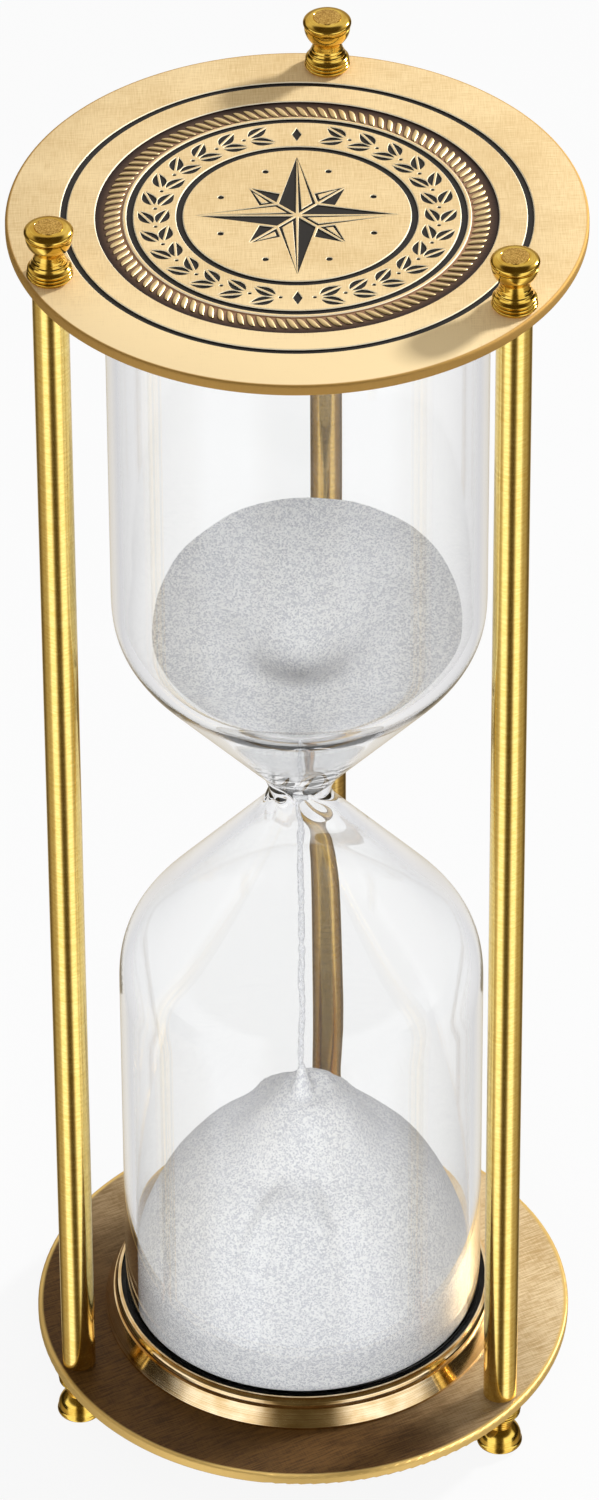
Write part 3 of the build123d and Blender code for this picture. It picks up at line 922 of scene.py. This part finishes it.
def top_plate_mesh():
    round_edge = 0.6
    edge = PLATE_RADIUS - round_edge
    outline = [(0, TOP_PLATE_UNDER)] + arc((edge, TOP_PLATE_UNDER + round_edge), round_edge, -90, 0, 5)
    outline += arc((edge, TOP_FACE - round_edge), round_edge, 0, 90, 5)
    recess = ((ROPE_RECESS_OUTSIDE + ROPE_RECESS_INSIDE) / 2, ROPE_RECESS_OUTSIDE - ROPE_RECESS_INSIDE)
    for middle, width in (OUTER_RING, recess, MIDDLE_RING, INNER_RING):
        outline += groove(middle, width)
    outline.append((0, TOP_FACE))
    disc = bpy.data.objects.new("disc", ring_mesh("top_plate", [circle(r, h, 240) for r, h in outline]))

    shape = bmesh.new()
    filled, lined, dots = rose()
    for outline in wreath() + dots:
        cut_filled(shape, outline)
    for outline in filled:
        cut_filled(shape, grown(anticlockwise(outline), -0.2))
    for outline in lined:
        cut_line(shape, grown(anticlockwise(outline), -0.2), 0.8)
    for side in SIDES:
        low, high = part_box(f"top_stud_{side}")
        hole = [(x, y) for x, y, _ in circle(PLATE_HOLE, 0, 32, axis_spot(low, high))]
        ends = []
        for level in (TOP_FACE + 1, TOP_PLATE_UNDER - 1):
            ends.append([shape.verts.new((x * MM, y * MM, level * MM)) for x, y in hole])
        shape.faces.new(ends[0])
        shape.faces.new(ends[1][::-1])
        for k in range(len(hole)):
            shape.faces.new([ends[0][k - 1], ends[1][k - 1], ends[1][k], ends[0][k]])
    cutter_mesh = bpy.data.meshes.new("cutter")
    shape.to_mesh(cutter_mesh)
    shape.free()
    cutter = bpy.data.objects.new("cutter", cutter_mesh)

    scene = bpy.context.scene
    for thing in (disc, cutter):
        scene.collection.objects.link(thing)
    cut = disc.modifiers.new("engraving", "BOOLEAN")
    cut.operation = "DIFFERENCE"
    cut.solver = "EXACT"
    cut.use_self = True
    cut.object = cutter
    seen = disc.evaluated_get(bpy.context.evaluated_depsgraph_get())
    mesh = bpy.data.meshes.new_from_object(seen)
    for thing in (disc, cutter):
        bpy.data.objects.remove(thing)
    return smooth(mesh, 25)


def rope_mesh(beads=112, steps=10, sides=10):
    """The rope border: one S-shaped bead for each strand that shows, side by side in the recess."""
    shape = bmesh.new()
    floor = TOP_FACE - GROOVE_DEPTH
    for bead in range(beads):
        loops = []
        for k in range(1, steps):
            lay = math.pi * k / steps
            swell = math.sin(lay) ** 0.45
            out = ROPE_RADIUS - 1.75 * math.cos(lay)
            turn = 2 * math.pi * (bead + 1.15 * k / steps) / beads
            loop = []
            for j in range(sides):
                round_turn = 2 * math.pi * j / sides
                along = 0.74 * swell * math.cos(round_turn) / out
                level = floor + max(-0.02, 0.36 * swell * math.sin(round_turn))
                loop.append(shape.verts.new((
                    out * MM * math.cos(turn + along),
                    out * MM * math.sin(turn + along),
                    level * MM,
                )))
            loops.append(loop)
        for here, following in zip(loops, loops[1:]):
            for j in range(sides):
                shape.faces.new([here[j - 1], here[j], following[j], following[j - 1]])
        shape.faces.new(loops[0][::-1])
        shape.faces.new(loops[-1])
    bmesh.ops.recalc_face_normals(shape, faces=shape.faces)
    mesh = bpy.data.meshes.new("rope")
    shape.to_mesh(mesh)
    shape.free()
    return smooth(mesh, 60)


# Glass and metal

scene = bpy.context.scene
scene.view_settings.view_transform = "Standard"
scene.cycles.max_bounces = 32
scene.cycles.glossy_bounces = 16
scene.cycles.transmission_bounces = 24

glass = piece("blown_glass", glass_mesh(), clear_glass())
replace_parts(glass, "glass_vessel")

sand = white_sand()
steel = thread_steel()
rubber = black_rubber()
felt = black_felt()
collar = collar_brass()
bright_rod = rod_brass("rod_brass", tone(236, 202, 108), tone(252, 226, 142))
# Painted shade: the back rod gets a darker copy of the same rod brass
shaded_back_rod = rod_brass("shaded_rod_brass", tone(168, 136, 74), tone(206, 174, 104))
rods = {"left": bright_rod, "right": bright_rod, "back": shaded_back_rod}
finial = turned_brass("turned_finial_brass", TOP_FACE, 1)
foot = turned_brass("turned_foot_brass", BOTTOM_PLATE_UNDER, -1)
plate = piece("engraved_plate", top_plate_mesh(), engraved_brass())
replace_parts(plate, "top_plate")
piece("rope_border", rope_mesh(), rope_brass())
dress("bottom_plate", plate_brass())
for end in ("top", "bottom"):
    dress(f"{end}_collar", collar)
    dress(f"{end}_gasket", rubber)
    dress(f"{end}_cushion", felt)
for side in SIDES:
    dress(f"rod_{side}", rods[side])
    for end, knob in (("top", "finial"), ("bottom", "foot")):
        node = f"{end}_stud_{side}"
        low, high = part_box(node)
        spot = axis_spot(low, high)
        stud = piece(f"threaded_{node}", stud_mesh(spot, low[2] / MM), steel, f"{knob}_{side}_screw")
        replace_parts(stud, node)
        seat, way, finish = (TOP_FACE, 1, finial) if knob == "finial" else (BOTTOM_PLATE_UNDER, -1, foot)
        mesh = knob_mesh(spot, seat, way)
        turned = piece(f"turned_{knob}_{side}", mesh, finish, f"{knob}_{side}_knob")
        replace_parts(turned, f"{knob}_{side}")
falling = falling_sand()
for node, mesh, finish in (
    ("sand_upper", upper_sand_mesh(), sand),
    ("sand_stream", stream_mesh(), falling),
    ("sand_lower", heap_mesh(), sand),
):
    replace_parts(piece(f"loose_{node}", mesh, finish), node)

# Studio

FLOOR_REACH = 12.0
FLOOR_DROP = 0.00005
floor_mesh = bpy.data.meshes.new("floor")
corners = [(x * FLOOR_REACH, y * FLOOR_REACH, 0) for x, y in ((-1, -1), (1, -1), (1, 1), (-1, 1))]
floor_mesh.from_pydata(corners, [], [(0, 1, 2, 3)])
floor = bpy.data.objects.new("floor", floor_mesh)
floor.location.z = -FLOOR_DROP
floor_mesh.materials.append(floor_paint())
floor.visible_glossy = False
bpy.context.scene.collection.objects.link(floor)


def studio():
    """White for the camera and through glass; metal mirrors soft boxes with dark warm gaps between them."""
    world = bpy.data.worlds.new("studio")
    world.cycles.sampling_method = "NONE"
    bpy.context.scene.world = world
    work = Finish(world)
    way = work.node("ShaderNodeTexCoord", output="Generated")
    rise = work.axes(way)[2]
    to_camera = (math.sin(CAMERA_TURN), -math.cos(CAMERA_TURN), 0)
    settings = {"operation": "DOT_PRODUCT"}
    facing = work.node("ShaderNodeVectorMath", settings, {0: way, 1: to_camera}, output="Value")
    turn = facing / (1.0001 - rise * rise) ** 0.5 * 0.5 + 0.5

    def band(levels):
        """What is mirrored from straight behind, at 0, round to the camera, at 1."""
        stops = []
        for position, level in levels:
            gap = 1 - min(1.0, level)
            warm = [level * (1 + 0.2 * gap), level * (1 - 0.1 * gap), level * (1 - 0.6 * gap), 1.0]
            stops.append((position, warm))
        return work.node("ShaderNodeValToRGB", {"stops": stops}, {"Fac": turn})

    low = band([
        (0.0, 0.5), (0.06, 0.45), (0.11, 0.06), (0.22, 0.16), (0.32, 0.26), (0.43, 0.4), (0.59, 0.42),
        (0.7, 0.62), (0.79, 1.4), (0.93, 1.4), (0.966, 0.7), (0.986, 0.16), (1.0, 0.08),
    ])
    belt = band([
        (0.0, 0.4), (0.06, 0.35), (0.11, 0.02), (0.6, 0.03), (0.69, 0.05), (0.77, 1.3),
        (0.95, 1.3), (0.975, 0.5), (0.99, 0.1), (1.0, 0.06),
    ])
    panel = band([
        (0.0, 0.4), (0.06, 0.35), (0.11, 0.08), (0.45, 0.1), (0.54, 1.2), (0.95, 1.4),
        (0.968, 0.6), (0.984, 0.12), (1.0, 0.08),
    ])
    sky = band([(0.0, 0.82), (0.25, 0.7), (0.5, 0.3), (0.75, 0.12), (1.0, 0.08)])
    zenith = (0.07, 0.05, 0.02, 1.0)
    edges = ((-0.35, -0.2, belt), (0.02, 0.08, panel), (0.28, 0.42, sky), (0.75, 0.87, zenith))
    reflected = low
    for start, end, above in edges:
        reflected = work.mix(work.step(rise, start, end), reflected, above)
    from_camera = work.ray("Is Camera Ray")
    straight_on = 1 - work.step(work.ray("Diffuse Depth"), 0.0, 1.0)
    refraction = work.ray("Is Transmission Ray")
    through = refraction * straight_on
    glossy = work.ray("Is Glossy Ray") * straight_on
    lit = work.mix(glossy, (0.42, 0.42, 0.43, 1.0), reflected)
    lit = work.mix(refraction * (1 - straight_on), lit, (0.9, 0.9, 0.91, 1.0))
    behind = work.mix(work.step(rise, 0.0, 0.5), (0.85, 0.85, 0.87, 1.0), (1.0, 1.0, 1.0, 1.0))
    refracted = work.mix(through, lit, behind)
    seen = work.mix(from_camera, refracted, (1.0, 1.0, 1.0, 1.0))
    work.done(work.node("ShaderNodeBackground", sockets={"Color": seen, "Strength": 1.0}))


def lamp(name, spot, width, height, spread, power, in_mirrors):
    """A soft box that is aimed at the middle of the object."""
    data = bpy.data.lights.new(name, "AREA")
    data.shape = "RECTANGLE"
    data.size = width
    data.size_y = height
    data.spread = math.radians(spread)
    data.energy = power
    made = bpy.data.objects.new(name, data)
    made.location = spot
    made.rotation_mode = "QUATERNION"
    made.rotation_quaternion = (LAMP_AIM - Vector(spot)).to_track_quat("-Z", "Y")
    made.visible_glossy = in_mirrors
    made.visible_transmission = False
    bpy.context.scene.collection.objects.link(made)
    return made


studio()
key = lamp("key", (1.2, 1.1, 1.15), width=0.22, height=0.22, spread=80, power=6.9, in_mirrors=True)
lamp("fill", (0.05, -1.45, 0.65), width=1.2, height=0.6, spread=120, power=6.5, in_mirrors=False)

# The key lights metal and floor only: its light through the glass would bleach the sand
hard_lit = bpy.data.collections.new("hard_lit")
for thing in bpy.context.scene.objects:
    if thing.type == "MESH" and thing != glass and not thing.name.startswith("loose_sand"):
        hard_lit.objects.link(thing)
key.light_linking.receiver_collection = hard_lit


def photo_camera():
    back = Vector((
        math.sin(CAMERA_TURN) * math.cos(CAMERA_RISE),
        -math.cos(CAMERA_TURN) * math.cos(CAMERA_RISE),
        math.sin(CAMERA_RISE),
    ))
    level = Vector((math.cos(CAMERA_TURN), math.sin(CAMERA_TURN), 0))
    upright = back.cross(level)
    right = level * math.cos(CAMERA_ROLL) + upright * math.sin(CAMERA_ROLL)
    up = upright * math.cos(CAMERA_ROLL) - level * math.sin(CAMERA_ROLL)
    data = bpy.data.cameras.new("camera")
    data.sensor_width = SENSOR
    data.lens = PHOTO_FOCAL * SENSOR / PHOTO_LONG_SIDE
    made = bpy.data.objects.new("camera", data)
    turned = Matrix((right, up, back)).transposed().to_4x4()
    made.matrix_world = Matrix.Translation(CAMERA_AIM + back * CAMERA_DISTANCE) @ turned
    bpy.context.scene.collection.objects.link(made)
    bpy.context.scene.camera = made


photo_camera()
